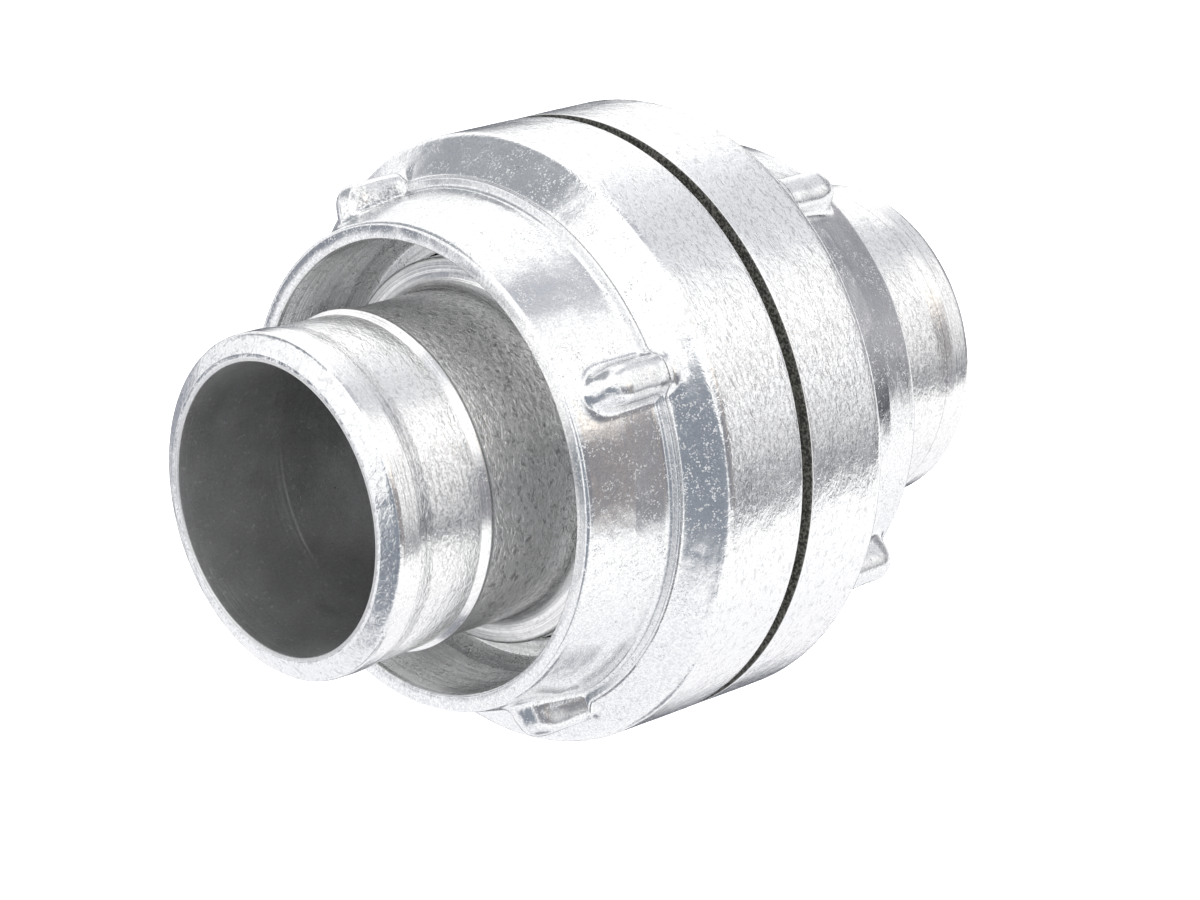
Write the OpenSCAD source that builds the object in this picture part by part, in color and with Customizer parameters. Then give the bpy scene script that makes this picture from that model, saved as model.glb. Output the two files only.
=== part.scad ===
// Fire hose adapter: two equal bayonet claw couplings locked face to face, a hose tail on each.
// Each half is drawn in its own frame: z = 0 is its mating face, +z runs towards its hose end,
// and its claws reach below z = 0 into the other half.

/* [Claw ring] */
// Outer diameter of the flange
flange_d = 98; // [96:1:104]
// Distance from the mating face to the flange's back edge
flange_len = 15.7; // [14.5:0.1:17]
// Rounding of the flange's back edge
flange_round = 1.5; // [1:0.5:4]
// Small break along the flange's mating edge
face_break = 0.3; // [0.2:0.1:1]
// Distance from the mating face to the foot of the ridge
ridge_at = 20.8; // [20:0.2:22]
// Height of the ridge over the neck
ridge_h = 1.9; // [1.2:0.1:2.6]
// Length of the claw ring from the mating face to the collar's rim
ring_len = 35.5; // [34:0.5:40]
// Inner diameter of the collar
collar_d = 71.8; // [70:0.2:73]
// Wall of the collar at its rim
rim_wall = 2.8; // [2.2:0.1:3.4]
// Growth of the neck's radius from the rim to the ridge
neck_draft = 2.6; // [1.5:0.1:3]
// Distance from the mating face to the back of the inner lip
lip_back = 17.5; // [17:0.5:19]
// Bevel between the collar's bore and the inner lip, along the axis
lip_bevel = 3.5; // [1:0.5:4]

/* [Spanner lugs] */
// Number of lugs around the neck
lug_count = 4; // [2:2:6]
// Diameter over the lugs
lug_d = 91; // [88:0.5:93]
// Width of a lug
lug_w = 7.2; // [5:0.2:9]
// Distance from the collar's rim back to the lug's nose
lug_setback = 3.6; // [1:0.1:5]
// Rounding of the lug's nose
lug_nose = 3; // [1.5:0.5:3.5]

/* [Claws] */
// Distance between the inner faces of the two claws
claw_span = 66; // [66:0.5:69]
// Radial thickness of the claw's stem
claw_stem = 4; // [3:0.5:5]
// How far the hook reaches out past the stem
claw_hook = 5.4; // [4:0.2:6]
// Thickness of the hook along the axis
hook_t = 4.2; // [3:0.2:4.6]
// Arc of a claw
claw_arc = 40; // [30:1:44]
// Thickness of the plate that the hook pulls on
plate_t = 5; // [4:0.2:5.4]
// Turn between locked and free to pull apart
twist = 60; // [50:1:64]
// Clearance around a claw in its slot
claw_clear = 0.35; // [0.3:0.05:0.5]

/* [Hose tail] */
// Outer diameter of the tail, the hose's inner size
hose_d = 52.5; // [50:0.5:53]
// Diameter of the waterway
bore_d = 45.5; // [43:0.5:46]
// Distance from the mating face to the hose end
tail_len = 63.5; // [60:0.5:70]
// Outer diameter of the head that turns in the claw ring
head_d = 62; // [61:0.5:62]
// Distance from the mating face to the back of the head
head_back = 23.4; // [22:0.2:25]
// Share of the head's step that the fillet behind it takes
fillet_share = 0.48; // [0.2:0.02:0.6]
// Distance from the mating face to the bead's crest
bead_at = 44.1; // [42:0.1:46]
// Height of the bead
bead_h = 0.6; // [0.5:0.1:1.4]
// Distance from the hose end back to the step of the end lip
end_lip = 6.8; // [4:0.1:8]
// Height of the end lip
end_lip_h = 0.65; // [0.3:0.05:1.2]
// Length of the bevelled hose end
end_bevel = 1.5; // [0.6:0.1:2]
// Width of the flat land around the hose end's mouth
end_land = 0.9; // [0.5:0.1:1.2]
// Running gap between the head and the claw ring's bore
turn_gap = 0.35; // [0.3:0.05:0.45]

/* [Snap ring] */
// Wire diameter
wire_d = 3; // [2.4:0.1:3.2]
// Distance from the mating face to the wire's centre
wire_at = 14; // [13.4:0.1:14.4]
// Opening between the wire's ends, as an angle
wire_opening = 18; // [10:1:40]

/* [Seal] */
// Share of the head's wall that the seal's seat takes
seat_share = 0.68; // [0.6:0.02:0.72]
// Share of the seal's width that its foot reaches out under the groove's edge
foot_share = 0.21; // [0.1:0.01:0.25]
// Depth of the seal's seat below the head's front
seal_seat = 5; // [4:0.2:6]
// Height of the seal's foot
foot_h = 2.2; // [1.6:0.2:2.6]

/* [Joint] */
// Gap between the two mating faces
face_gap = 2; // [1.2:0.1:2.4]

/* [Hidden] */
$fn = 96;
arc_step = 18;
over = 1;
bore_r = bore_d / 2;
tail_r = hose_d / 2;
head_r = head_d / 2;
head_front = 0.4;
mouth_break = 0.3;
head_round = 0.8;
bead_top = 0.9;
bead_steep = 1.6;
bead_shelf = 1.2;
bead_shelf_h = 0.25;
bead_slope = 5.2;
bead_round = 0.4;
bead_foot_round = 1.5;
lip_foot_round = 0.4;
ring_bore_r = head_r + turn_gap;
neck_fillet = fillet_share * (head_r - tail_r);
flange_r = flange_d / 2;
collar_r = collar_d / 2;
rim_r = collar_r + rim_wall;
neck_r = rim_r + neck_draft;
ridge_r = neck_r + ridge_h;
bend_share = 0.45;
bend_drop = 0.28;
bend_r = neck_r - bend_drop * neck_draft;
bend_at = ridge_at + bend_share * (ring_len - ridge_at);
ridge_land = 0.5;
ridge_crest_round = 0.6;
ridge_back_round = 0.3;
ridge_foot_round = 0.7;
bend_round = 6;
rim_round = 0.9;
lip_round = 0.6;
bevel_depth = 1.4;
bevel_r = collar_r - bevel_depth;
claw_in = claw_span / 2;
stem_out = claw_in + claw_stem;
hook_out = stem_out + claw_hook;
hook_back = face_gap + plate_t + claw_clear;
claw_tip = hook_back + hook_t;
slot_in = claw_in - claw_clear;
slot_out = stem_out + claw_clear;
pocket_out = hook_out + claw_clear;
pocket_t = claw_tip - face_gap + claw_clear;
side_clear = asin(claw_clear / claw_in);
slot_mid = -90;
locked_at = slot_mid + twist / 2;
entry_at = slot_mid - twist / 2;
claw_break = 0.8;
wire_r = wire_d / 2;
wire_mid = head_r + turn_gap / 2;
wire_seat = 0.05;
wire_float = 0.2;
head_groove_r = head_r - wire_d - wire_float;
seal_clear = 0.05;
seal_break = 0.6;
foot_r = bore_r + seat_share * (head_r - bore_r);
seal_r = foot_r - foot_share * (foot_r - bore_r);
seal_top = face_gap / 2;
lug_top = lug_d / 2;
lug_end = ring_len - lug_setback;
lug_edge = 1.6;
lug_draft = 0.6;
lug_inner = collar_r + rim_wall / 2;
rear_face_z = tail_len;
front_face_z = rear_face_z + face_gap;
front_turn = -locked_at;

function unit(v) = v / norm(v);

// Points of one corner b between a and c, rounded to radius r
function corner(a, b, c, r) =
    r <= 0 ? [b] :
    let (u = unit(a - b), w = unit(c - b), half = acos(u * w) / 2)
    let (mid = b + unit(u + w) * r / sin(half))
    let (s = b + u * r / tan(half) - mid, e = b + w * r / tan(half) - mid)
    let (from = atan2(s.y, s.x), turn = (atan2(e.y, e.x) - from + 540) % 360 - 180)
    let (n = max(1, ceil(abs(turn) / arc_step)))
    [for (i = [0:n]) mid + r * [cos(from + turn * i / n), sin(from + turn * i / n)]];

// Closed outline through points [radius, height, rounding]
function outline(p) = [
    for (i = [0:len(p) - 1])
        let (a = p[(i + len(p) - 1) % len(p)], b = p[i], c = p[(i + 1) % len(p)])
        each corner([a.x, a.y], [b.x, b.y], [c.x, c.y], b.z)
];

// Ring sector between two radii, two heights and two angles
module sector(r0, r1, z0, z1, from, to) {
    rotate([0, 0, from])
        rotate_extrude(angle = to - from)
            translate([r0, z0])
                square([r1 - r0, z1 - z0]);
}

// Both copies of what a ring has twice
module twice() {
    for (turn = [0, 180])
        rotate([0, 0, turn])
            children();
}

// Cast body of the claw ring: flange, shoulder, ridge, neck, collar and inner lip
module ring_body() {
    rotate_extrude()
        polygon(outline([
            [ring_bore_r, 0, face_break],
            [flange_r, 0, face_break],
            [flange_r, flange_len, flange_round],
            [ridge_r, ridge_at - ridge_land, ridge_crest_round],
            [ridge_r, ridge_at, ridge_back_round],
            [neck_r, ridge_at, ridge_foot_round],
            [bend_r, bend_at, bend_round],
            [rim_r, ring_len, rim_round],
            [collar_r, ring_len, lip_round],
            [collar_r, lip_back + lip_bevel, lip_round],
            [bevel_r, lip_back, lip_round],
            [ring_bore_r, lip_back, lip_round]
        ]));
}

// Spanner lug at angle 0: its side view and its drafted end view, crossed
module lug() {
    intersection() {
        rotate([90, 0, 0])
            linear_extrude(height = lug_w, center = true)
                polygon(outline([
                    [lug_inner, flange_len, 0],
                    [lug_top, flange_len, 0],
                    [lug_top, lug_end, lug_nose],
                    [lug_inner, lug_end, 0]
                ]));
        linear_extrude(height = ring_len)
            polygon(outline([
                [lug_inner, -lug_w / 2, 0],
                [lug_top, lug_draft - lug_w / 2, lug_edge],
                [lug_top, lug_w / 2 - lug_draft, lug_edge],
                [lug_inner, lug_w / 2, 0]
            ]));
    }
}

// Claw at angle 0: a curved stem with a hook that reaches outwards
module claw() {
    rotate([0, 0, -claw_arc / 2])
        rotate_extrude(angle = claw_arc)
            polygon([
                [claw_in, over],
                [claw_in, -claw_tip],
                [hook_out - claw_break, -claw_tip],
                [hook_out, -claw_tip + claw_break],
                [hook_out, -hook_back],
                [stem_out, -hook_back],
                [stem_out, over]
            ]);
}

// Room for the other half's claw: entry window, slot under the plate's edge, pocket behind it
module claw_room() {
    from = entry_at - claw_arc / 2 - side_clear;
    to = locked_at + claw_arc / 2 + side_clear;
    window_to = entry_at + claw_arc / 2 + side_clear;
    sector(slot_in, pocket_out, -over, pocket_t, from, window_to);
    sector(slot_in, slot_out, -over, pocket_t, from, to);
    sector(slot_in, pocket_out, plate_t, pocket_t, from, to);
}

module claw_ring() {
    difference() {
        union() {
            ring_body();
            for (i = [0:lug_count - 1])
                rotate([0, 0, i * 360 / lug_count])
                    lug();
            twice()
                claw();
        }
        twice()
            claw_room();
        rotate_extrude()
            translate([wire_mid, wire_at])
                circle(r = wire_r + wire_seat, $fn = 32);
    }
}

// Hose tail: head, body, bead and end lip, bored through, grooved for the seal and the wire
module hose_tail() {
    difference() {
        rotate_extrude()
            polygon(outline([
                [bore_r, head_front, 0],
                [head_r, head_front, head_round],
                [head_r, head_back, head_round],
                [tail_r, head_back, neck_fillet],
                [tail_r, bead_at - bead_slope, bead_foot_round],
                [tail_r + bead_shelf_h, bead_at - bead_shelf, bead_round],
                [tail_r + bead_h, bead_at - bead_top / 2, bead_round],
                [tail_r + bead_h, bead_at + bead_top / 2, bead_round],
                [tail_r, bead_at + bead_steep, bead_round],
                [tail_r, tail_len - end_lip, lip_foot_round],
                [tail_r + end_lip_h, tail_len - end_lip + end_lip_h, lip_foot_round],
                [tail_r + end_lip_h, tail_len - end_bevel, head_round],
                [bore_r + mouth_break + end_land, tail_len, mouth_break],
                [bore_r + mouth_break, tail_len, 0],
                [bore_r, tail_len - mouth_break, 0]
            ]));
        seal_solid(seal_clear);
        rotate_extrude()
            translate([head_groove_r, wire_at - wire_r - wire_float])
                square([wire_d + over, wire_d + 2 * wire_float]);
    }
}

// Seal grown by a clearance, so that it also cuts its own seat
module seal_solid(grow) {
    base = head_front + seal_seat + grow;
    under = head_front + seal_seat - foot_h - grow;
    inner = grow > 0 ? bore_r - over : bore_r;
    rotate_extrude()
        polygon([
            [inner, base],
            [foot_r + grow, base],
            [foot_r + grow, under],
            [seal_r + grow, under],
            [seal_r + grow, seal_break - seal_top],
            [seal_r + grow - seal_break, -seal_top],
            [bore_r + seal_break, -seal_top],
            [inner, seal_break - seal_top]
        ]);
}

// Split wire ring
module snap_ring() {
    rotate([0, 0, wire_opening / 2])
        rotate_extrude(angle = 360 - wire_opening)
            translate([wire_mid, wire_at])
                circle(r = wire_r, $fn = 32);
}

// Rear half stands on its hose end, front half lies on it turned to the locked position
module in_rear() {
    translate([0, 0, rear_face_z])
        rotate([180, 0, 0])
            children();
}

module in_front() {
    translate([0, 0, front_face_z])
        rotate([0, 0, front_turn])
            children();
}

module rear_tail() {
    color("lightgray") in_rear() hose_tail();
}

module rear_seal() {
    color("#1c1c1c") in_rear() seal_solid(0);
}

module rear_snap_ring() {
    color("gray") in_rear() snap_ring();
}

module rear_claw_ring() {
    color("silver") in_rear() claw_ring();
}

module front_claw_ring() {
    color("silver") in_front() claw_ring();
}

module front_snap_ring() {
    color("gray") in_front() snap_ring();
}

module front_seal() {
    color("#1c1c1c") in_front() seal_solid(0);
}

module front_tail() {
    color("lightgray") in_front() hose_tail();
}

rear_tail();
rear_seal();
rear_snap_ring();
rear_claw_ring();
front_claw_ring();
front_snap_ring();
front_seal();
front_tail();
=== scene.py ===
# %% [markdown]
# Fire hose adapter
# Two equal claw couplings are locked face to face, and each turns on its own hose tail.
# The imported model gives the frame: sizes in metres, the waterway along Z and the rear hose end at Z = 0.
# The claw rings and the tails are rebuilt here as fine surfaces, because a casting shows its skin.

# %% Load the frame
import bpy
import numpy as np
from mathutils import Matrix, Vector


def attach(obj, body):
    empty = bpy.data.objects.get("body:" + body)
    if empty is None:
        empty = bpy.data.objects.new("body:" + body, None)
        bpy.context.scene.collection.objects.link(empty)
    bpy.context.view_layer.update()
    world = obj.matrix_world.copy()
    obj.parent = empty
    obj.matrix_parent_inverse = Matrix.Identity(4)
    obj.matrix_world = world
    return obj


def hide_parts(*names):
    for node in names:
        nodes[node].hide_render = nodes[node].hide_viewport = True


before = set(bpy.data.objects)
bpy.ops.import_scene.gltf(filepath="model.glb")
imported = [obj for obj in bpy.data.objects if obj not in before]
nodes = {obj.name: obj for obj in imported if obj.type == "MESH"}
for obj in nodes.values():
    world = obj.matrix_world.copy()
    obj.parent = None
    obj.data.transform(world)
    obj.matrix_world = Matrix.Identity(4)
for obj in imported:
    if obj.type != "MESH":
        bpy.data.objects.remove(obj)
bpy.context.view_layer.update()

MM = 0.001

# %% [markdown]
# The camera
# It stands where the photographer stood: in front of the near hose end, a little to the side.
# The place and the three directions come from fitting the circles of the flanges, ridges and bores.

# %% Camera
EYE_MM = (407.79, -279.35, 503.46)
PICTURE_RIGHT = (0.36669, -0.59648, -0.71397)
PICTURE_UP = (0.69310, 0.68708, -0.21804)
TOWARDS_EYE = (0.62061, -0.41490, 0.66536)
LENS_MM = 124.01

camera_data = bpy.data.cameras.new("camera")
camera_data.lens = LENS_MM
camera_data.sensor_width = 36.0
camera_data.clip_start = 0.01
camera = bpy.data.objects.new("camera", camera_data)
turned = Matrix((PICTURE_RIGHT, PICTURE_UP, TOWARDS_EYE)).transposed().to_4x4()
camera.matrix_world = Matrix.Translation([MM * v for v in EYE_MM]) @ turned
bpy.context.scene.collection.objects.link(camera)
bpy.context.scene.camera = camera
print("camera at", EYE_MM, "mm with a", LENS_MM, "mm lens")

# %% [markdown]
# Helpers for surfaces
# Every cast or turned piece here is a ring: a closed outline in the plane of radius and height, swept
# round the axis. So one helper rounds an outline's corners and one makes a closed grid of faces.

# %% Rounded outline
def rounded(points, steps):
    """Outline through corners (radius, height, rounding), as a closed polyline.

    A corner becomes an arc of its rounding, which touches both sides at rounding / tan(half angle)
    from the corner. The straight stretch after a corner is cut into pieces of about that corner's step,
    so that faces are small where the piece is seen and large where it is hidden.
    """
    corners = np.array([p[:2] for p in points], float)
    parts = []
    for i, (b, size, step) in enumerate(zip(corners, [p[2] for p in points], steps)):
        a, c = corners[i - 1], corners[(i + 1) % len(corners)]
        u, w = (a - b) / np.linalg.norm(a - b), (c - b) / np.linalg.norm(c - b)
        if size <= 0:
            parts.append(b[None])
            continue
        half = np.arccos(np.clip(u @ w, -1, 1)) / 2
        middle = b + (u + w) / np.linalg.norm(u + w) * size / np.sin(half)
        first, last = b + u * size / np.tan(half) - middle, b + w * size / np.tan(half) - middle
        start = np.arctan2(first[1], first[0])
        sweep = (np.arctan2(last[1], last[0]) - start + np.pi) % (2 * np.pi) - np.pi
        count = max(2, int(np.ceil(abs(sweep) * max(size, 0.8) / step)), int(abs(sweep) / 0.35))
        angle = start + sweep * np.linspace(0, 1, count + 1)
        parts.append(middle + size * np.stack([np.cos(angle), np.sin(angle)], 1))
    line = np.vstack(parts)
    after = np.roll(line, -1, 0)
    own_step = np.concatenate([np.full(len(part), step) for part, step in zip(parts, steps)])
    cuts = np.maximum(1, np.round(np.linalg.norm(after - line, axis=1) / own_step).astype(int))
    share = np.concatenate([np.arange(n) / n for n in cuts])
    return np.repeat(line, cuts, 0) + share[:, None] * np.repeat(after - line, cuts, 0)


# %% Closed grid of faces
def ring_faces(rows, columns):
    """Faces of a grid that closes both ways: corner (i, j) joins (i, j+1), (i+1, j+1) and (i+1, j)."""
    i, j = np.meshgrid(np.arange(rows), np.arange(columns), indexing="ij")
    k, m = (i + 1) % rows, (j + 1) % columns
    corners = (i * columns + j, i * columns + m, k * columns + m, k * columns + j)
    return np.stack(corners, -1).reshape(-1, 4)


def new_piece(name, points, faces):
    """Smooth shaded mesh object from an array of points in millimetres and one of faces."""
    mesh = bpy.data.meshes.new(name)
    mesh.vertices.add(len(points))
    mesh.vertices.foreach_set("co", (MM * np.asarray(points, float)).ravel())
    mesh.loops.add(faces.size)
    mesh.loops.foreach_set("vertex_index", faces.ravel().astype(np.int32))
    mesh.polygons.add(len(faces))
    mesh.polygons.foreach_set("loop_start", (np.arange(len(faces)) * faces.shape[1]).astype(np.int32))
    mesh.polygons.foreach_set("loop_total", np.full(len(faces), faces.shape[1], np.int32))
    mesh.update(calc_edges=True)
    mesh.validate()
    mesh.shade_smooth()
    piece = bpy.data.objects.new(name, mesh)
    bpy.context.scene.collection.objects.link(piece)
    print(name, len(mesh.vertices), "points,", len(mesh.polygons), "faces")
    return piece


def points_of(piece):
    """The piece's points as an array of millimetres."""
    flat = np.empty(len(piece.data.vertices) * 3, np.float32)
    piece.data.vertices.foreach_get("co", flat)
    return flat.reshape(-1, 3).astype(float) / MM


def normals_of(piece):
    """The piece's point normals as an array."""
    flat = np.empty(len(piece.data.vertices) * 3, np.float32)
    piece.data.vertex_normals.foreach_get("vector", flat)
    return flat.reshape(-1, 3).astype(float)


def move_points(piece, points):
    """Puts an array of millimetres back into the piece."""
    piece.data.vertices.foreach_set("co", (MM * points).astype(np.float32).ravel())
    piece.data.update()


# %% [markdown]
# Uneven metal
# A sand casting that was tumbled is never smooth: its skin rolls gently and has small dents. Noise on
# a lattice of random numbers gives that, the same on each run, and it can be stretched along a direction.

# %% Noise in space
LATTICE = np.random.default_rng(7).uniform(-1, 1, (32, 32, 32))


def noise(points, wavelength, shift=0.0):
    """Smooth random value at each point: the eight lattice corners round it, eased with 3t^2 - 2t^3."""
    scaled = points / wavelength + shift
    base = np.floor(scaled).astype(int)
    t = scaled - base
    t = t * t * (3 - 2 * t)
    total = np.zeros(len(points))
    for corner in np.ndindex(2, 2, 2):
        index = (base + corner) % len(LATTICE)
        share = np.prod(np.where(np.array(corner) == 1, t, 1 - t), axis=1)
        total += share * LATTICE[index[:, 0], index[:, 1], index[:, 2]]
    return total


def smooth_step(low, high, x):
    """0 below low, 1 above high and 3t^2 - 2t^3 between them."""
    t = np.clip((x - low) / (high - low), 0, 1)
    return t * t * (3 - 2 * t)


def soft_max(a, b, size):
    """The larger of two fields, with the crease between them rounded over about size."""
    h = np.maximum(size - np.abs(a - b), 0) / size
    return np.maximum(a, b) + h * h * size / 4


def soft_min(a, b, size):
    """The smaller of two fields, with the crease between them rounded over about size."""
    return -soft_max(-a, -b, size)


print("lattice of", LATTICE.size, "random numbers")

# %% [markdown]
# Claw ring, first the body of revolution
# Flange, sloping shoulder, step of the ridge, neck, rim, collar and inner lip are one outline. Its
# sizes repeat the part's own. The corners' roundings are those of a casting that has been tumbled.

# %% Outline of the claw ring
FLANGE_R, FLANGE_LEN = 49.0, 15.7
RIDGE_R, RIDGE_AT = 43.2, 20.8
NECK_R, BEND_R, BEND_AT = 41.3, 40.57, 27.42
RIM_R, COLLAR_R, RING_LEN = 38.7, 35.9, 35.5
LIP_BACK, LIP_R, BORE_R = 17.5, 34.5, 31.35
WIRE_MID, WIRE_AT, WIRE_GROOVE_R = 31.175, 14.0, 1.55
LUG_COUNT, LUG_TOP, LUG_W, LUG_END = 4, 45.5, 7.2, 31.9

OUTER = [
    (FLANGE_R, 0, 0.3), (FLANGE_R, FLANGE_LEN, 1.6), (RIDGE_R, RIDGE_AT - 0.7, 0.9),
    (RIDGE_R - 0.15, RIDGE_AT - 0.05, 0.5), (NECK_R, RIDGE_AT + 0.15, 0.9), (BEND_R, BEND_AT, 1.5),
    (RIM_R, RING_LEN, 0.9),
]
INNER = [
    (COLLAR_R, RING_LEN, 0.6), (COLLAR_R, LIP_BACK + 3.5, 0.6), (LIP_R, LIP_BACK, 0.6),
    (BORE_R, LIP_BACK, 0.6), (BORE_R, 0, 0.3),
]
RING_STEPS = [0.8, 0.6, 0.5, 0.5, 0.6, 0.42, 1.5, 1.0, 1.5, 1.5, 1.5, 1.8]
print("claw ring outline has", len(OUTER) + len(INNER), "corners")

# %% [markdown]
# Spanner lugs
# A lug is a block with drafted flanks, a rounded nose and a soft root. Each point of the outer grid is
# slid along its radius until it meets the joined field of neck and lug, so root and edges are true
# fillets and the ring stays one closed skin. Columns stand close where a lug's flank rises, and wider
# between lugs. The first lug has a shallow bare recess in one flank.

# %% Lug field
LUG_BASE_R = 37.3
LUG_DRAFT, NOSE_DRAFT = 0.6, 0.08
TOP_ROUND, NOSE_ROUND, ROOT_ROUND = 2.8, 4.4, 1.3
RECESS = {"from": 21.3, "to": 30.7, "low": 40.3, "high": 43.6, "depth": 0.5, "edge": 0.3}


def lug_field(radius, angle, height, first):
    """Distance outside a lug: the soft maximum of top, flank and nose planes in the lug's own axes.

    x points out through the lug and y across it. The flank narrows outwards by its draft and the nose
    leans back. On the first lug the recess takes its depth from one flank, inside a soft rectangle.
    """
    x, y = radius * np.cos(angle), radius * np.sin(angle)
    half = LUG_W / 2 - LUG_DRAFT * (x - LUG_BASE_R) / (LUG_TOP - LUG_BASE_R)
    inside = np.minimum(np.minimum(height - RECESS["from"], RECESS["to"] - height),
                        np.minimum(x - RECESS["low"], RECESS["high"] - x))
    cut = RECESS["depth"] * smooth_step(0, RECESS["edge"], inside) * first * (y < 0)
    flank = np.abs(y) - half + cut
    nose = height - LUG_END + NOSE_DRAFT * (x - LUG_TOP)
    return soft_max(soft_max(x - LUG_TOP, flank, TOP_ROUND), nose, NOSE_ROUND)


# %% Columns round the ring
LUG_HALF_ANGLE, FINE_STEP, WIDE_STEP = 7.6, 0.2, 1.1
pitch = 360 / LUG_COUNT
quarter = np.concatenate([np.arange(-LUG_HALF_ANGLE, LUG_HALF_ANGLE, FINE_STEP),
                          np.arange(LUG_HALF_ANGLE, pitch - LUG_HALF_ANGLE, WIDE_STEP)])
columns = np.radians(np.concatenate([quarter + pitch * i for i in range(LUG_COUNT)]))
from_lug = (columns + np.pi / LUG_COUNT) % (2 * np.pi / LUG_COUNT) - np.pi / LUG_COUNT
at_first = np.cos(columns) > 0.9
print(len(columns), "columns")

# %% Rows of the ring, with the wire's groove in the bore
profile = rounded(OUTER + INNER, RING_STEPS)
groove_edge = WIRE_GROOVE_R + 0.1
from_wire = np.abs(profile[:, 1] - WIRE_AT)
on_bore = np.flatnonzero((np.abs(profile[:, 0] - BORE_R) < 0.01) & (from_wire > groove_edge)
                         & (profile[:, 1] > 1) & (profile[:, 1] < LIP_BACK - 1))
below = on_bore[profile[on_bore, 1] < WIRE_AT].min()
above = below - 1
while from_wire[above] < groove_edge:
    above -= 1
arc = np.radians(np.linspace(-88, 88, 9))
notch = np.stack([WIRE_MID + WIRE_GROOVE_R * np.cos(arc), WIRE_AT - WIRE_GROOVE_R * np.sin(arc)], 1)
profile = np.vstack([profile[:above + 1], notch, profile[below:]])
print("profile", len(profile), "rows")

# %% Slide the outer rows out to the lugs
HALVINGS = 20
is_outer = (profile[:, 0] > COLLAR_R + 1) & (profile[:, 1] > FLANGE_LEN - 2)
radius = np.repeat(profile[:, :1], len(columns), 1)
height = np.repeat(profile[:, 1:], len(columns), 1)
neck = radius[is_outer]
low, high = neck - 0.1, np.full_like(neck, LUG_TOP + 4)
for halving in range(HALVINGS):
    middle = (low + high) / 2
    to_lug = lug_field(middle, from_lug, height[is_outer], at_first)
    outside = soft_min(to_lug, (middle - neck) * 0.9, ROOT_ROUND) > 0
    low, high = np.where(outside, low, middle), np.where(outside, middle, high)
radius[is_outer] = np.maximum(neck, (low + high) / 2)
over_ridge = profile[:, 1] > RIDGE_AT + 1
print("after", halving + 1, "halvings the lugs rise to", round(radius[over_ridge].max(), 2))

# %% Ring grid
ring_points = np.stack([radius * np.cos(columns), radius * np.sin(columns), height], -1).reshape(-1, 3)
ring_grid = new_piece("ring_grid", ring_points, ring_faces(len(profile), len(columns)))

# %% [markdown]
# Claws and their rooms
# Two curved claws stand out of the mating face, and two arched slots with pockets behind take the
# other ring's claws. They are sectors of simple outlines, joined to the ring or cut from it exactly.

# %% Sector solid
CLAW_IN, STEM_OUT, HOOK_OUT = 33.0, 37.0, 42.4
CLEAR, FACE_GAP, PLATE_T = 0.35, 2.0, 5.0
HOOK_BACK, CLAW_TIP = 7.35, 11.55
POCKET_T, POCKET_OUT = 9.9, 42.75
SLOT_IN, SLOT_OUT = CLAW_IN - CLEAR, STEM_OUT + CLEAR
CLAW_HALF, SIDE = 20.0, 0.61
LOCKED_AT, ENTRY_AT = -60.0, -120.0


def sector(name, outline, start, end, step=1.0):
    """Closed solid: an outline (radius, height) swept from one angle to another, capped at both ends.

    It is built twice, half a turn apart, because a ring has two claws and two slots.
    """
    line = np.array(outline, float)
    count = int(np.ceil((end - start) / step)) + 1
    points, faces = [], []
    for half_turn in (0, 180):
        angle = np.radians(np.linspace(start, end, count) + half_turn)[:, None]
        first = sum(len(p) for p in points)
        points.append(np.stack([line[:, 0] * np.cos(angle), line[:, 0] * np.sin(angle),
                                np.broadcast_to(line[:, 1], (count, len(line)))], -1).reshape(-1, 3))
        i, j = np.meshgrid(np.arange(count - 1), np.arange(len(line)), indexing="ij")
        k = (j + 1) % len(line)
        sides = np.stack([i * len(line) + j, (i + 1) * len(line) + j, (i + 1) * len(line) + k,
                          i * len(line) + k], -1).reshape(-1, 4) + first
        cap = np.arange(len(line)) + first
        faces += sides.tolist() + [cap.tolist(), (cap[::-1] + (count - 1) * len(line)).tolist()]
    mesh = bpy.data.meshes.new(name)
    mesh.from_pydata((MM * np.vstack(points)).tolist(), [], faces)
    mesh.update()
    cutter = bpy.data.objects.new(name, mesh)
    bpy.context.scene.collection.objects.link(cutter)
    print(name, len(mesh.polygons), "faces")
    return cutter


def carve(piece, cutter, operation):
    """Joins or cuts the piece exactly, applies the result and deletes the cutter."""
    step = piece.modifiers.new(cutter.name, "BOOLEAN")
    step.operation, step.solver, step.object = operation, "EXACT", cutter
    bpy.context.view_layer.update()
    result = bpy.data.meshes.new_from_object(piece.evaluated_get(bpy.context.evaluated_depsgraph_get()))
    piece.modifiers.clear()
    piece.data = result
    bpy.data.objects.remove(cutter)


# %% Join the claws and cut their rooms
claw_line = [(CLAW_IN, 1.0), (CLAW_IN, -CLAW_TIP + 0.5), (CLAW_IN + 0.5, -CLAW_TIP),
             (HOOK_OUT - 0.8, -CLAW_TIP), (HOOK_OUT, -CLAW_TIP + 0.8), (HOOK_OUT, -HOOK_BACK),
             (STEM_OUT, -HOOK_BACK), (STEM_OUT, 1.0)]
slot_line = [(SLOT_IN, -1), (SLOT_OUT, -1), (SLOT_OUT, PLATE_T), (POCKET_OUT, PLATE_T),
             (POCKET_OUT, POCKET_T), (SLOT_IN, POCKET_T)]
window_line = [(SLOT_IN, -1), (POCKET_OUT, -1), (POCKET_OUT, POCKET_T), (SLOT_IN, POCKET_T)]
reach = CLAW_HALF + SIDE
carve(ring_grid, sector("claws", claw_line, -CLAW_HALF, CLAW_HALF), "UNION")
carve(ring_grid, sector("slots", slot_line, ENTRY_AT - reach, LOCKED_AT + reach), "DIFFERENCE")
carve(ring_grid, sector("windows", window_line, ENTRY_AT - reach, ENTRY_AT + reach), "DIFFERENCE")
print("ring with claws", len(ring_grid.data.vertices), "points")

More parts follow.
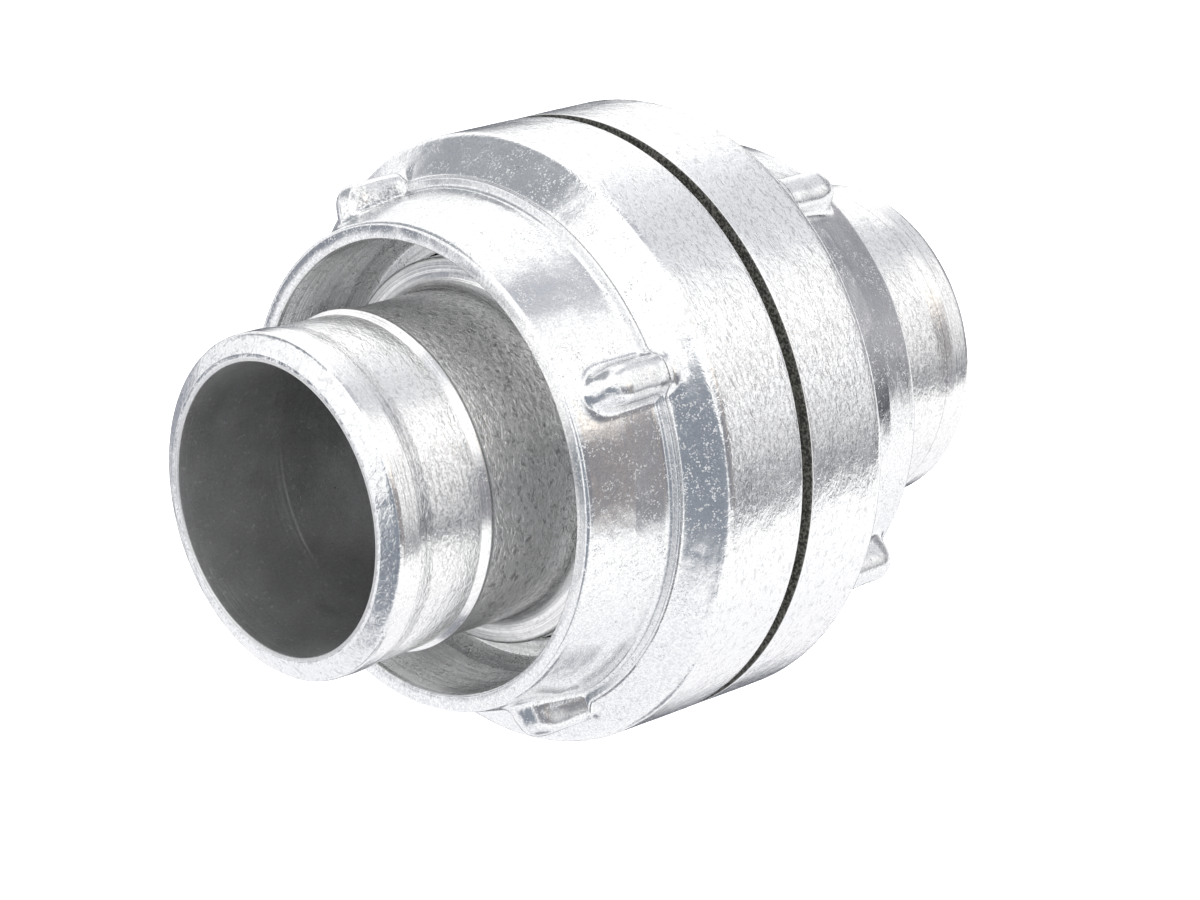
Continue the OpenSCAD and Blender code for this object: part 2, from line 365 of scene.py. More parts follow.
# %% [markdown]
# Cast skin of the rings
# The same casting is used twice, so the mesh is copied and laid in place: the rear ring upside down,
# the front ring turned to the locked position. Then each gets its own skin: low rolls all over, uneven
# lugs, and wrinkles where the metal froze. Points move along the normals, by a tenth of a millimetre
# or so.

# %% Lay the rings in place
REAR_FACE, FRONT_FACE, FRONT_TURN = 63.5, 65.5, np.radians(60.0)


def in_rear(p):
    """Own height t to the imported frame: half a turn about X, then up to the rear mating face."""
    return p * (1, -1, -1) + (0, 0, REAR_FACE)


def in_front(p):
    """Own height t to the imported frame: turned to the locked position, then up to the front face."""
    c, s = np.cos(FRONT_TURN), np.sin(FRONT_TURN)
    return p @ np.array([[c, s, 0], [-s, c, 0], [0, 0, 1]]) + (0, 0, FRONT_FACE)


def flow_marks(p, marks):
    """Wrinkles left as the metal froze: sharp noise, 1 - 2 |noise|, faded out round each mark's centre.

    A mark is its centre's angle, radius and height, its size and its depth.
    """
    total = np.zeros(len(p))
    for angle, radius, height, size, depth in marks:
        turn = np.radians(angle)
        centre = np.array([radius * np.cos(turn), radius * np.sin(turn), height])
        fade = smooth_step(size, 0.3 * size, np.linalg.norm(p - centre, axis=1))
        total += depth * fade * (1 - 2 * np.abs(noise(p * (1, 1, 1.6), 1.5, angle)))
    return total


def within(value, low, high, edge=0.5):
    """1 between low and high, eased down to 0 at both over the edge."""
    return smooth_step(0, edge, value - low) * smooth_step(0, edge, high - value)


def cast_ring(name, place, seed, marks):
    """Copy of the carved ring in its place, with its skin: moved along the normal by summed noise.

    Mating face, pockets and bore keep their exact shape. An attribute tells the material where the
    bare recess of the first lug is.
    """
    piece = bpy.data.objects.new(name, ring_grid.data.copy())
    bpy.context.scene.collection.objects.link(piece)
    p = points_of(piece)
    n = normals_of(piece)
    r, t = np.hypot(p[:, 0], p[:, 1]), p[:, 2]
    off_pockets = np.maximum(smooth_step(44, 45, r), smooth_step(11.5, 13, t))
    shown = smooth_step(0.3, 1.2, t) * off_pockets * smooth_step(BORE_R + 0.3, BORE_R + 1.0, r)
    on_lug = smooth_step(42.0, 43.0, r) * smooth_step(21.5, 22.5, t)
    rolls = 0.07 * noise(p, 11.0, seed) + 0.022 * noise(p, 4.5, seed + 3)
    fine = 0.010 * noise(p * (1, 1, 0.6), 1.7, seed + 9)
    uneven = 0.09 * noise(p, 2.4, seed + 4) + 0.035 * noise(p, 1.1, seed + 6)
    move = rolls + fine + on_lug * uneven + flow_marks(p, marks)
    in_recess = (within(t, RECESS["from"], RECESS["to"]) * within(p[:, 0], RECESS["low"], RECESS["high"])
                 * (p[:, 1] < -1.5) * (p[:, 1] > -LUG_W))
    bare = piece.data.attributes.new("bare", "FLOAT", "POINT")
    bare.data.foreach_set("value", in_recess.astype(np.float32))
    move += 0.06 * in_recess * noise(p, 0.9, seed)
    move_points(piece, place(p + n * (shown * move)[:, None]))
    return piece


FRONT_MARKS = [(-128, 45.6, 18.2, 4.0, 0.10), (-136, 48.6, 15.0, 3.0, 0.09), (-66, 40.6, 27.0, 4.0, 0.05),
               (-84, 48.9, 9.0, 2.2, 0.07), (-122, 39.9, 30.5, 3.0, 0.05)]
REAR_MARKS = [(40, 46.0, 18.0, 4.0, 0.09), (200, 40.5, 26.0, 4.0, 0.06), (-70, 48.9, 10.0, 3.0, 0.07)]
rear_ring = cast_ring("rear_cast_ring", in_rear, 2.3, REAR_MARKS)
front_ring = cast_ring("front_cast_ring", in_front, 11.7, FRONT_MARKS)
bpy.data.objects.remove(ring_grid)
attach(rear_ring, "rear_ring_body")
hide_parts("rear_claw_ring")
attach(front_ring, "front_ring_body")
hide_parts("front_claw_ring")

# %% [markdown]
# Hose tails
# A tail is turned from a casting: the head turns in the ring, the bead and the end lip hold the hose.
# Between the head and the bead the skin stays as cast, so it is rougher there than at the turned end.

# %% Tail outline and grid
HEAD_R, HEAD_FRONT, HEAD_BACK = 31.0, 0.4, 23.4
TAIL_R, TAIL_BORE_R, TAIL_LEN = 26.25, 22.75, 63.5
BEAD_AT, BEAD_H, LIP_LEN, LIP_H = 44.1, 0.6, 6.8, 0.65
SEAT_R, SEAT_NECK_R, SEAT_TOP, SEAT_STEP = 28.41, 27.23, 5.45, 3.15
GROOVE_R, GROOVE_FROM, GROOVE_TO = 27.8, 12.3, 15.7
tail_line = rounded([
    (SEAT_NECK_R, HEAD_FRONT, 0.1), (HEAD_R, HEAD_FRONT, 0.8), (HEAD_R, GROOVE_FROM, 0.1),
    (GROOVE_R, GROOVE_FROM, 0.1), (GROOVE_R, GROOVE_TO, 0.1), (HEAD_R, GROOVE_TO, 0.1),
    (HEAD_R, HEAD_BACK, 0.8), (TAIL_R, HEAD_BACK, 2.2), (TAIL_R, BEAD_AT - 5.2, 1.5),
    (TAIL_R + 0.25, BEAD_AT - 1.2, 0.3), (TAIL_R + BEAD_H, BEAD_AT - 0.55, 0.3),
    (TAIL_R + BEAD_H, BEAD_AT + 0.05, 0.25), (TAIL_R, BEAD_AT + 1.2, 0.25),
    (TAIL_R + 0.2, TAIL_LEN - LIP_LEN - 1.6, 3.0), (TAIL_R + LIP_H, TAIL_LEN - LIP_LEN + 1.6, 3.0),
    (TAIL_R + LIP_H, TAIL_LEN - 1.5, 0.8), (TAIL_BORE_R + 1.2, TAIL_LEN, 0.3),
    (TAIL_BORE_R, TAIL_LEN, 0.3), (TAIL_BORE_R, SEAT_TOP, 0.1), (SEAT_R, SEAT_TOP, 0.1),
    (SEAT_R, SEAT_STEP, 0.1), (SEAT_NECK_R, SEAT_STEP, 0.1),
], [1.5, 1.5, 1.0, 1.0, 1.0, 1.5, 0.8] + [0.45] * 10 + [1.2] + [1.5] * 4)
TAIL_COLUMNS = 330
print("tail outline", len(tail_line), "rows")


def cast_tail(name, place, seed):
    """Tail outline swept round the axis and laid in place: (r cos a, r sin a, t) moved along its normal.

    The move is coarse noise where the skin is as cast, and lower noise where it is turned or bored.
    """
    angle = np.linspace(0, 2 * np.pi, TAIL_COLUMNS, endpoint=False)
    r, rise = np.repeat(tail_line[:, :1], TAIL_COLUMNS, 1), np.repeat(tail_line[:, 1:], TAIL_COLUMNS, 1)
    p = np.stack([r * np.cos(angle), r * np.sin(angle), rise], -1).reshape(-1, 3)
    piece = new_piece(name, p, ring_faces(len(tail_line), TAIL_COLUMNS))
    n = normals_of(piece)
    radius, t = np.hypot(p[:, 0], p[:, 1]), p[:, 2]
    outside, off_end = smooth_step(25, 25.5, radius), smooth_step(63.0, 62.0, t)
    as_cast = smooth_step(24.5, 26.5, t) * smooth_step(44.0, 42.0, t) * outside
    turned_part = smooth_step(42.0, 45.0, t) * outside * off_end
    bore = smooth_step(23.6, 23.0, radius) * off_end * smooth_step(5.5, 8.0, t)
    rough = 0.04 * noise(p, 4.0, seed) + 0.015 * noise(p, 1.6, seed + 5)
    rolls = 0.04 * noise(p, 7.0, seed + 2) + 0.008 * noise(p, 1.8, seed + 8)
    move = as_cast * rough + turned_part * rolls + bore * (0.6 * rough)
    move_points(piece, place(p + n * move[:, None]))
    return piece


rear_tube = cast_tail("rear_hose_tail", in_rear, 4.1)
front_tube = cast_tail("front_hose_tail", in_front, 8.6)
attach(rear_tube, "rear_tail_body")
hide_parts("rear_tail")
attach(front_tube, "front_tail_body")
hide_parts("front_tail")

# %% [markdown]
# Finishes
# The castings are bright aluminium, tumbled until they shine, with a grain left in the skin. Painting
# that by hand would take a picture, so it is worked out from noise. The same effects come back on
# every metal: where a point lies on its half, the cast grain and the marks of turning. Each is one
# node group, so that the flange can be leathery while the neck stays glossy in the same material.

# %% Shader helpers
def add(tree, kind, **values):
    """A node of that kind, with inputs set by name."""
    node = tree.nodes.new(kind)
    for name, value in values.items():
        node.inputs[name].default_value = value
    return node


def group_with(name, inputs, outputs):
    """Empty node group with named number inputs (name, default) and number outputs."""
    tree = bpy.data.node_groups.new(name, "ShaderNodeTree")
    for label, value in inputs:
        socket = tree.interface.new_socket(label, in_out="INPUT", socket_type="NodeSocketFloat")
        socket.default_value = value
    for label in outputs:
        tree.interface.new_socket(label, in_out="OUTPUT", socket_type="NodeSocketFloat")
    return tree, tree.nodes.new("NodeGroupInput"), tree.nodes.new("NodeGroupOutput")


def link(tree, source, target):
    """Joins an output socket to an input socket, or sets the input where the source is a number."""
    if isinstance(source, (int, float)):
        target.default_value = source
    else:
        tree.links.new(source, target)


def sums(tree, operation, a, b=0.0):
    """Maths node on two sockets or numbers, and its output."""
    node = tree.nodes.new("ShaderNodeMath")
    node.operation = operation
    link(tree, a, node.inputs[0])
    link(tree, b, node.inputs[1])
    return node.outputs[0]


def times(tree, *values):
    """Product of sockets or numbers."""
    product = values[0]
    for value in values[1:]:
        product = sums(tree, "MULTIPLY", product, value)
    return product


def largest(tree, *values):
    """The largest of sockets or numbers."""
    top = values[0]
    for value in values[1:]:
        top = sums(tree, "MAXIMUM", top, value)
    return top


def between(tree, value, low, high, first=0.0, last=1.0):
    """Eased change from first, where the value is low, to last, where it is high."""
    node = add(tree, "ShaderNodeMapRange",
               **{"From Min": low, "From Max": high, "To Min": first, "To Max": last})
    node.interpolation_type = "SMOOTHSTEP"
    link(tree, value, node.inputs["Value"])
    return node.outputs["Result"]


def span(tree, value, rise, fall):
    """Mask that rises over one pair of values and falls over another."""
    return times(tree, between(tree, value, *rise), between(tree, value, *fall))


def by_mask(tree, mask, off, on):
    """Number that goes from off to on as the mask goes from 0 to 1."""
    return between(tree, mask, 0.0, 1.0, off, on)


def blended(tree, mask, first, last):
    """Colour that goes from first to last, each a socket or a colour, as the mask goes from 0 to 1."""
    node = tree.nodes.new("ShaderNodeMix")
    node.data_type = "RGBA"
    for socket, colour in zip(node.inputs[6:8], (first, last)):
        if isinstance(colour, tuple):
            socket.default_value = (*colour, 1)
        else:
            link(tree, colour, socket)
    link(tree, mask, node.inputs[0])
    return node.outputs[2]


def painted(tree, colour, layers):
    """Colour under layers, each a mask and a colour, laid on in their order."""
    for mask, paint in layers:
        colour = blended(tree, mask, colour, paint)
    return colour


def pattern(tree, scale, detail, stretch=(1, 1, 1), roughness=0.5, distortion=0.0):
    """Noise on Object coordinates, stretched along the axes, with scale waves to a metre."""
    place = tree.nodes.new("ShaderNodeTexCoord").outputs["Object"]
    laid = add(tree, "ShaderNodeMapping", Scale=stretch)
    link(tree, place, laid.inputs["Vector"])
    node = add(tree, "ShaderNodeTexNoise", Scale=scale, Detail=detail, Roughness=roughness,
               Distortion=distortion)
    link(tree, laid.outputs["Vector"], node.inputs["Vector"])
    return node.outputs["Fac"]


# %% Groups: place on a half, cast grain and turning marks
def place_group():
    """Radius from the waterway's axis, and height over the nearer half's mating face, in millimetres."""
    tree, _, out = group_with("place on a half", [], ["Radius", "Height"])
    split = tree.nodes.new("ShaderNodeSeparateXYZ")
    link(tree, tree.nodes.new("ShaderNodeTexCoord").outputs["Object"], split.inputs[0])
    x, y, z = split.outputs
    square = sums(tree, "ADD", times(tree, x, x), times(tree, y, y))
    link(tree, times(tree, sums(tree, "SQRT", square), 1 / MM), out.inputs["Radius"])
    middle = MM * (REAR_FACE + FRONT_FACE) / 2
    away = times(tree, sums(tree, "ABSOLUTE", sums(tree, "SUBTRACT", z, middle)), 1 / MM)
    link(tree, sums(tree, "SUBTRACT", away, FACE_GAP / 2), out.inputs["Height"])
    return tree


def cast_grain_group():
    """Height of the skin, its dark creases, pits and grains, its dull dots, and a slow change of tone.

    The height adds leathery wrinkles, dents and specks, each with its own strength. Wrinkles are noise
    squeezed along the waterway, a crease is where that noise is lowest, and specks are the peaks of a
    finer noise, so that the metal between them stays a clear mirror. Dots are the middles of random
    cells, cut at a distance that varies, and come in patches.
    """
    tree, into, out = group_with("cast grain", [("Peel", 1.0), ("Dents", 1.0), ("Specks", 1.0)],
                                 ["Height", "Creases", "Pits", "Grains", "Dots", "Tone"])
    peel = pattern(tree, 820.0, 2.0, (1, 1, 1.7), 0.6, 0.9)
    specks = between(tree, pattern(tree, 2700.0, 2.0, roughness=0.6), 0.60, 0.72)
    specks = times(tree, specks, between(tree, pattern(tree, 380.0, 2.0), 0.46, 0.62))
    height = 0.0
    for label, wave in (("Peel", peel), ("Dents", pattern(tree, 240.0, 1.0)), ("Specks", specks)):
        height = sums(tree, "ADD", height, times(tree, wave, into.outputs[label]))
    link(tree, height, out.inputs["Height"])
    link(tree, between(tree, peel, 0.46, 0.34), out.inputs["Creases"])
    grains = pattern(tree, 2400.0, 4.0, roughness=0.8)
    link(tree, between(tree, grains, 0.60, 0.38), out.inputs["Grains"])
    pits = pattern(tree, 560.0, 3.0, roughness=0.6)
    link(tree, between(tree, pits, 0.72, 0.77), out.inputs["Pits"])
    cells = add(tree, "ShaderNodeTexVoronoi", Scale=2500.0)
    link(tree, tree.nodes.new("ShaderNodeTexCoord").outputs["Object"], cells.inputs["Vector"])
    size = between(tree, pattern(tree, 900.0, 2.0), 0.42, 0.62, 0.04, 0.38)
    dots = between(tree, sums(tree, "SUBTRACT", cells.outputs["Distance"], size), 0.10, -0.04)
    patches = between(tree, pattern(tree, 160.0, 2.0), 0.40, 0.60)
    link(tree, times(tree, dots, patches), out.inputs["Dots"])
    link(tree, pattern(tree, 70.0, 3.0, roughness=0.6), out.inputs["Tone"])
    return tree


def turning_group():
    """Grooves that a cutting tool leaves: noise of radius and height alone, so that it runs round."""
    tree, _, out = group_with("turning marks", [], ["Height"])
    half = tree.nodes.new("ShaderNodeGroup")
    half.node_tree = PLACE
    across = tree.nodes.new("ShaderNodeCombineXYZ")
    link(tree, half.outputs["Radius"], across.inputs[0])
    link(tree, half.outputs["Height"], across.inputs[1])
    fine = add(tree, "ShaderNodeTexNoise", Scale=1.5, Detail=3.0, Roughness=0.6)
    link(tree, across.outputs[0], fine.inputs["Vector"])
    link(tree, fine.outputs["Fac"], out.inputs["Height"])
    return tree


PLACE = place_group()
CAST_GRAIN, TURNING = cast_grain_group(), turning_group()
print("groups:", [g.name for g in (PLACE, CAST_GRAIN, TURNING)])


# %% Start of a metal
BUMP_MM = 0.3


def placed(tree, group, **inputs):
    """A node group in a material, with inputs as numbers or sockets, and its outputs."""
    node = tree.nodes.new("ShaderNodeGroup")
    node.node_tree = group
    for label, value in inputs.items():
        link(tree, value, node.inputs[label])
    return node.outputs


def new_material(name, metallic):
    """Material with its node tree and shader."""
    material = bpy.data.materials.new(name)
    material.use_nodes = True
    shader = material.node_tree.nodes["Principled BSDF"]
    shader.inputs["Metallic"].default_value = metallic
    return material, material.node_tree, shader


def finish(tree, shader, colour, roughness, height, distance=BUMP_MM):
    """Feeds colour, roughness and relief into the shader."""
    link(tree, colour, shader.inputs["Base Color"])
    link(tree, roughness, shader.inputs["Roughness"])
    relief = add(tree, "ShaderNodeBump", Strength=1.0, Distance=MM * distance)
    link(tree, height, relief.inputs["Height"])
    link(tree, relief.outputs["Normal"], shader.inputs["Normal"])


# %% Metal of the claw rings
LIGHT_METAL, SHADED_METAL = (0.97, 0.97, 0.96), (0.89, 0.895, 0.905)
# Painted shade: mating faces and pockets, seen only down the seam between the rings, are near black,
# mottled a little with dust.
SEAM_SHADE, DUSTY_SEAM_SHADE = (0.010, 0.010, 0.009), (0.050, 0.049, 0.045)
FLANGE_SKIN = (47.6, 48.6)


def ring_finish():
    """Leathery on the flange, glossy and speckled on shoulder and neck, grooved in the collar."""
    material, tree, shader = new_material("tumbled casting", 1.0)
    radius, height = placed(tree, PLACE)

    def by_skin(neck, flange):
        """Number that goes from the neck's to the flange's."""
        return between(tree, radius, *FLANGE_SKIN, neck, flange)

    collar = times(tree, between(tree, radius, 36.5, 36.1), between(tree, height, 17.0, 17.4))
    pocket = times(tree, between(tree, radius, 44.0, 43.0), between(tree, height, 11.6, 11.0))
    hidden = largest(tree, between(tree, height, 0.35, 0.1), pocket)
    ridge = span(tree, height, (20.0, 20.5), (21.5, 21.0))
    on_lug = times(tree, between(tree, radius, 42.0, 43.0), between(tree, height, 21.6, 22.4))
    bare = tree.nodes.new("ShaderNodeAttribute")
    bare.attribute_name = "bare"
    grain = placed(tree, CAST_GRAIN, Peel=by_skin(0.08, 0.26), Dents=0.4, Specks=by_skin(0.12, 0.10))
    creases = times(tree, grain["Creases"], by_skin(0.06, 0.34), between(tree, height, 0.2, 0.9))
    mottled = between(tree, pattern(tree, 2200.0, 3.0, roughness=0.65), 0.42, 0.62)
    marks = placed(tree, TURNING)["Height"]
    colour = painted(tree, blended(tree, grain["Tone"], SHADED_METAL, LIGHT_METAL), [
        (creases, (0.30, 0.30, 0.31)),
        (times(tree, grain["Grains"], by_skin(0.62, 0.25)), (0.60, 0.61, 0.63)),
        (times(tree, grain["Pits"], 0.5), (0.16, 0.16, 0.17)),
        (times(tree, collar, 0.14), (0.50, 0.50, 0.46)),
        (times(tree, mottled, bare.outputs["Fac"], 0.75), (0.26, 0.26, 0.28)),
        (times(tree, collar, between(tree, marks, 0.55, 0.35, 0.0, 0.32)), (0.24, 0.24, 0.23)),
        (times(tree, ridge, mottled, 0.35), (0.55, 0.56, 0.59)),
        # painted shade: near black on the mating faces and in the pockets, mottled with dust
        (hidden, blended(tree, mottled, SEAM_SHADE, DUSTY_SEAM_SHADE)),
    ])
    speckled = sums(tree, "ADD", times(tree, grain["Dots"], by_skin(0.60, 0.10)),
                    times(tree, grain["Grains"], 0.10))
    rougher = largest(tree, times(tree, hidden, 0.5), times(tree, ridge, 0.14), times(tree, on_lug, 0.12),
                      speckled)
    roughness = sums(tree, "ADD", between(tree, grain["Tone"], 0.3, 0.7, 0.08, 0.16), rougher)
    link(tree, by_mask(tree, hidden, 1.0, 0.2), shader.inputs["Metallic"])
    grooves = times(tree, marks, collar, 0.4)
    finish(tree, shader, colour, roughness, sums(tree, "ADD", grain["Height"], grooves))
    return material


ring_metal = ring_finish()
print(ring_metal.name, len(ring_metal.node_tree.nodes), "nodes")


# %% Metal of the hose tails
def tail_finish():
    """Leathery where it is as cast, streaked at bead and lip, pitted at the end, and painted with shade in
    the bore.
    """
    material, tree, shader = new_material("hose tail metal", 1.0)
    radius, height = placed(tree, PLACE)
    bore = between(tree, radius, 23.5, 23.1)
    outside = sums(tree, "SUBTRACT", 1.0, bore)
    end = times(tree, between(tree, height, 61.7, 62.1), outside)
    head = between(tree, height, 25.0, 24.4)
    shaded = times(tree, span(tree, height, (24.5, 26.0), (43.4, 42.6)), outside)
    bead = span(tree, height, (42.6, 43.2), (46.0, 45.2))
    # Painted shade: a thin dark line where the lip steps up from the body
    line = span(tree, height, (56.65, 56.75), (56.95, 56.85))
    lip = span(tree, height, (57.0, 57.6), (62.0, 61.6))
    turned_part = largest(tree, bead, head, times(tree, lip, 0.6))
    leather = by_mask(tree, largest(tree, turned_part, bore), 1.0, 0.2)
    grain = placed(tree, CAST_GRAIN, Peel=times(tree, leather, by_mask(tree, shaded, 0.26, 0.60)),
                   Dents=by_mask(tree, end, 0.3, 0.8), Specks=0.10)
    creases = times(tree, grain["Creases"], leather, by_mask(tree, shaded, 0.32, 0.60))
    pits = times(tree, grain["Pits"], by_mask(tree, largest(tree, end, bore), 0.35, 0.75))
    dust = between(tree, pattern(tree, 1300.0, 2.0, roughness=0.6), 0.63, 0.68)
    marks = placed(tree, TURNING)["Height"]
    colour = painted(tree, blended(tree, grain["Tone"], (0.90, 0.90, 0.90), LIGHT_METAL), [
        (creases, (0.28, 0.28, 0.29)),
        (times(tree, grain["Grains"], 0.35), (0.60, 0.60, 0.60)),
        (times(tree, end, 0.15), (0.52, 0.56, 0.62)),
        # painted shade: the bore is darkened all along
        (times(tree, bore, 0.26), (0.20, 0.21, 0.22)),
        # painted shade: darker still deeper in the bore
        (times(tree, bore, 0.8, between(tree, height, 19.0, 7.0)), (0.10, 0.10, 0.10)),
        (times(tree, head, between(tree, marks, 0.55, 0.35, 0.0, 0.4)), (0.26, 0.26, 0.26)),
        (pits, (0.12, 0.12, 0.13)),
        # painted shade: near black below a height of 8 mm, round the seat and head deep inside the ring
        (between(tree, height, 8.0, 6.6), (0.035, 0.034, 0.032)),
        # painted shade line at the lip's step, left off the bore
        (times(tree, line, by_mask(tree, bore, 0.35, 0.0)), (0.25, 0.25, 0.26)),
        (times(tree, dust, bore, between(tree, height, 30.0, 45.0, 0.0, 0.7)), (0.95, 0.95, 0.95)),
    ])
    roughness = sums(tree, "ADD", between(tree, grain["Tone"], 0.3, 0.7, 0.12, 0.22),
                     times(tree, bore, 0.28))
    link(tree, by_mask(tree, shaded, 1.0, 0.96), shader.inputs["Metallic"])
    grooves = times(tree, marks, turned_part, 0.30)
    finish(tree, shader, colour, roughness, sums(tree, "ADD", grain["Height"], grooves))
    return material


tail_metal = tail_finish()
print(tail_metal.name, len(tail_metal.node_tree.nodes), "nodes")

# %% [markdown]
# Wire and rubber
# The snap ring is drawn steel wire, bright with faint lengthwise streaks. The seal is moulded black
# rubber: dull, a little dusty, with the fine grain of its mould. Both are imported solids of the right
# shape, so they only get a better finish.

# %% Wire
wire_metal, tree, shader = new_material("drawn wire", 1.0)
streaks = pattern(tree, 900.0, 3.0, (0.2, 0.2, 1), 0.6)
finish(tree, shader, blended(tree, streaks, (0.42, 0.42, 0.43), (0.66, 0.66, 0.67)),
       between(tree, streaks, 0.3, 0.7, 0.22, 0.36), streaks, 0.05)

# %% Rubber
rubber, tree, shader = new_material("seal rubber", 0.0)
dust, mould = pattern(tree, 180.0, 4.0, roughness=0.65), pattern(tree, 3000.0, 2.0)
dusty = between(tree, dust, 0.45, 0.7)
finish(tree, shader, blended(tree, dusty, (0.016, 0.016, 0.017), (0.05, 0.048, 0.044)),
       between(tree, dust, 0.3, 0.7, 0.62, 0.85), mould, 0.06)

# %% Give the pieces their finishes
for piece, material in (
    (rear_ring, ring_metal), (front_ring, ring_metal), (rear_tube, tail_metal), (front_tube, tail_metal),
    (nodes["rear_seal"], rubber), (nodes["rear_snap_ring"], wire_metal),
    (nodes["front_seal"], rubber), (nodes["front_snap_ring"], wire_metal),
):
    piece.data.materials.clear()
    piece.data.materials.append(material)
print("finishes:", sorted(m.name for m in bpy.data.materials))

# %% [markdown]
# Floor and light
# The adapter stands on a plain white table, lit from the camera's side. A light tent surrounds it:
# mostly white cloth, with openings and dim or bright patches. Bright metal shows only what it mirrors,
# so these give it its bands, and the table is left out of the mirror so that the tent shows there too.
# Each patch lies in the direction that a band of the metal mirrors: the line of sight, turned about the
# surface's normal. Axes are the model's own, so a patch stays where it is when the camera moves.

# %% Floor
FLOOR_HALF = 3
floor_mesh = bpy.data.meshes.new("floor")
around = ((-1, -1), (1, -1), (1, 1), (-1, 1))
floor_mesh.from_pydata([(FLOOR_HALF * x, FLOOR_HALF * y, 0) for x, y in around], [], [(0, 1, 2, 3)])
floor = bpy.data.objects.new("floor", floor_mesh)
bpy.context.scene.collection.objects.link(floor)
paper = bpy.data.materials.new("white table")
paper.use_nodes = True
matt = paper.node_tree.nodes["Principled BSDF"]
matt.inputs["Base Color"].default_value = (0.97, 0.97, 0.97, 1)
matt.inputs["Roughness"].default_value = 0.9
floor_mesh.materials.append(paper)
floor.visible_glossy = False
print("table", 2 * FLOOR_HALF, "m wide")

# %% Lamp over the table
LAMP_WATTS, LAMP_AWAY, LAMP_SIZE = 60.0, 1.4, 0.25
lamp_data = bpy.data.lights.new("table lamp", "AREA")
lamp_data.energy, lamp_data.size = LAMP_WATTS, LAMP_SIZE
lamp = bpy.data.objects.new("table lamp", lamp_data)
lamp.matrix_world = Matrix.Translation(LAMP_AWAY * Vector(TOWARDS_EYE)) @ turned
lamp.visible_glossy = False
bpy.context.scene.collection.objects.link(lamp)
print("table lamp of", LAMP_WATTS, "W")

# %% Light tent
TENT = 1.24
world = bpy.data.worlds.new("tent")
bpy.context.scene.world = world
world.use_nodes = True
tent = world.node_tree
heading = tent.nodes.new("ShaderNodeTexCoord").outputs["Generated"]
axes = tent.nodes.new("ShaderNodeSeparateXYZ")
link(tent, heading, axes.inputs[0])
along_x, along_y, along_z = axes.outputs


def eased(value, low, high):
    """0 below low and 1 above high, eased between."""
    return between(tent, value, low, high)


def toward(direction):
    """Cosine of the angle between the view of the tent and a direction."""
    node = tent.nodes.new("ShaderNodeVectorMath")
    node.operation = "DOT_PRODUCT"
    link(tent, heading, node.inputs[0])
    node.inputs[1].default_value = np.array(direction) / np.linalg.norm(direction)
    return node.outputs["Value"]


def all_of(*masks):
    """Product of masks."""
    return times(tent, *masks)


def ramp_with(value, low, high, first, last):
    """Straight change from first at low to last at high."""
    node = add(tent, "ShaderNodeMapRange",
               **{"From Min": low, "From Max": high, "To Min": first, "To Max": last})
    link(tent, value, node.inputs["Value"])
    return node.outputs["Result"]


def round_patch(direction, half, soft):
    """1 within half degrees of a direction, fading to 0 over soft degrees more."""
    return eased(toward(direction), np.cos(np.radians(half + soft)), np.cos(np.radians(half)))


# %% Openings of the tent
def long_gap():
    """Opening below the eye: the lower part fades slowly along X, the upper part narrows with height."""
    lower = all_of(eased(along_x, 0.0, 0.06), ramp_with(along_x, 0.06, 0.54, 0.90, 0.0),
                   eased(along_z, -0.61, -0.67))
    later = times(tent, ramp_with(along_z, -0.57, -0.27, 0.0, 1.0), 0.20)
    upper = all_of(eased(sums(tent, "SUBTRACT", along_x, later), -0.10, 0.12), eased(along_x, 0.86, 0.66),
                   eased(along_z, -0.63, -0.56))
    return all_of(largest(tent, lower, upper), eased(along_y, -0.22, -0.38), eased(along_z, 0.52, 0.28))


def high_gap():
    """Opening high up, on the side of -Y: sharp towards +X, slow towards the other side."""
    aslant = sums(tent, "ADD", along_y, times(tent, along_x, 0.844))
    return all_of(eased(along_z, 0.45, 0.62), eased(along_y, -0.06, -0.20), eased(along_x, 0.50, 0.44),
                  eased(aslant, -0.95, -0.70))


def side_strip():
    """Dim upright strip of cloth, wide below and narrow above."""
    across = toward((-0.407, 0.914, 0.0))
    low = all_of(eased(across, -0.36, -0.14), eased(across, 0.60, 0.28), eased(along_z, -0.50, -0.62))
    high = all_of(eased(across, -0.36, -0.14), eased(across, 0.20, 0.04), eased(along_z, -0.62, -0.50))
    return all_of(sums(tent, "ADD", times(tent, low, 0.62), high), eased(along_z, 0.30, 0.05),
                  eased(along_x, 0.2, 0.4))


def wide_gap():
    """Round opening beside the eye, cut off along a slanting edge."""
    return all_of(round_patch((0.14, 0.90, 0.41), 23, 11),
                  eased(toward((0.662, 0.246, -0.708)), -0.22, -0.08))


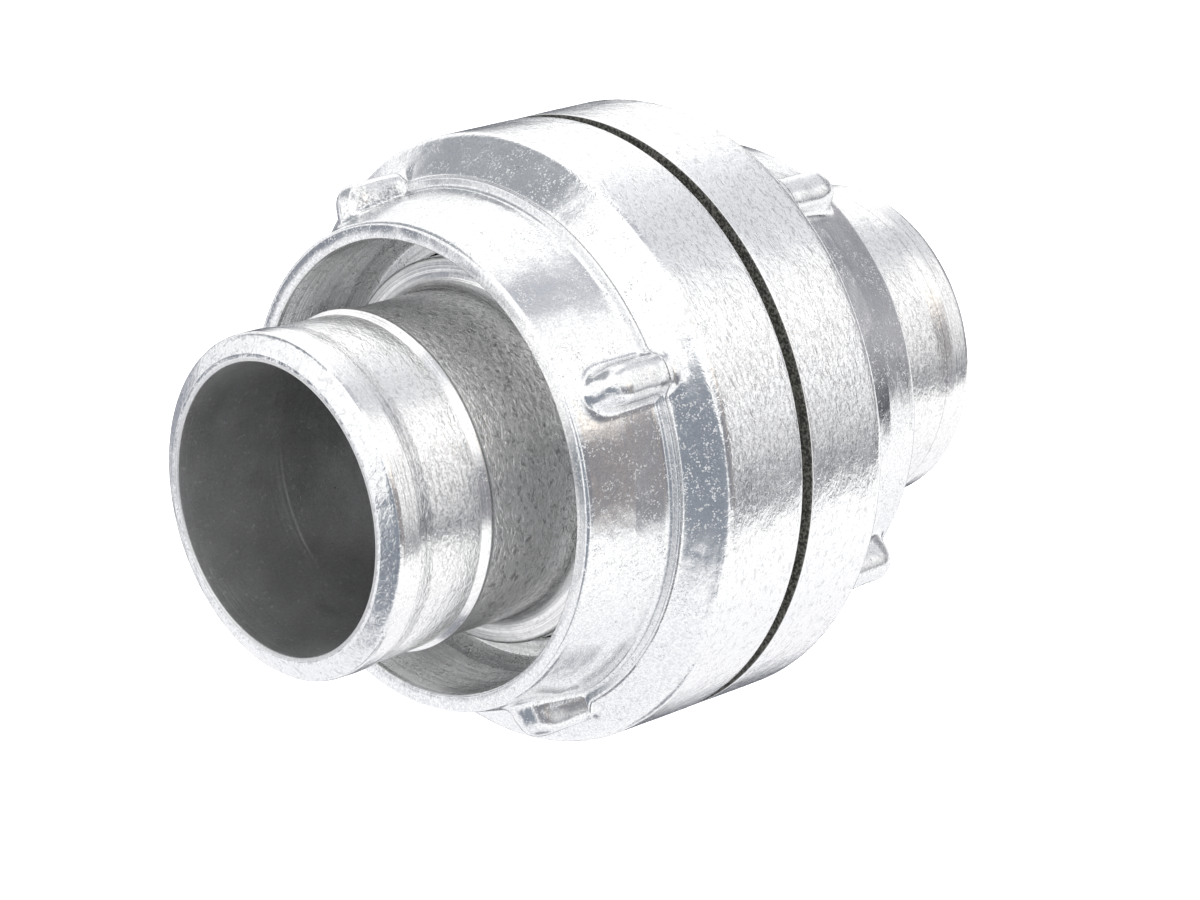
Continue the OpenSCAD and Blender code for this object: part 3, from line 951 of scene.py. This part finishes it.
def under():
    """Down below, where the adapter's own shade lies on the table."""
    return all_of(eased(along_z, -0.76, -0.83), eased(along_x, -0.05, 0.10), eased(along_y, 0.66, 0.50))


def low_corner():
    """Dim patch over the start of the long opening's lower part."""
    return all_of(eased(along_x, 0.0, 0.05), eased(along_x, 0.30, 0.14), eased(along_y, -0.3, -0.5),
                  eased(along_z, -0.56, -0.63))


def warm_strip():
    """Strip across the long opening, with warmer and brighter light."""
    return all_of(eased(along_z, -0.52, -0.44), eased(along_z, -0.2, -0.3), eased(along_y, -0.1, -0.4),
                  eased(along_x, 0.15, 0.3))


# %% Cloth of the tent
PATCHES = [
    (long_gap(), (0.215, 0.22, 0.245)),
    (high_gap(), (0.235, 0.26, 0.30)),
    (side_strip(), (0.48, 0.49, 0.53)),
    (wide_gap(), (0.33, 0.345, 0.37)),
    (low_corner(), (0.54, 0.55, 0.57)),
    (round_patch((-0.52, 0.65, 0.555), 8, 8), (0.24, 0.255, 0.29)),
    (round_patch([-v for v in TOWARDS_EYE], 18, 9), (0.12, 0.13, 0.15)),
    (under(), (0.40, 0.40, 0.42)),
    (warm_strip(), (1.42, 1.28, 1.14)),
    (eased(along_x, 0.1, -0.7), (0.86, 0.86, 0.88)),
    (round_patch((-0.83, -0.48, -0.22), 9, 9), (0.30, 0.31, 0.34)),
    (round_patch((-0.62, 0.76, -0.14), 8, 8), (0.35, 0.36, 0.40)),
    (round_patch((0.66, 0.20, 0.72), 20, 15), (1.15, 1.15, 1.15)),
    (round_patch((0.45, 0.72, -0.53), 12, 12), (1.12, 1.12, 1.12)),
]
cloth = (1.0, 1.0, 1.0)
for patch, colour in PATCHES:
    cloth = blended(tent, patch, cloth, colour)
    cloth.node.blend_type = "MULTIPLY"
shade = tent.nodes["Background"]
seen = tent.nodes.new("ShaderNodeLightPath").outputs["Is Camera Ray"]
link(tent, blended(tent, seen, cloth, (1.0, 1.0, 1.0)), shade.inputs["Color"])
shade.inputs["Strength"].default_value = TENT
bpy.context.scene.view_settings.view_transform = "Standard"
print(len(PATCHES), "patches in the tent")
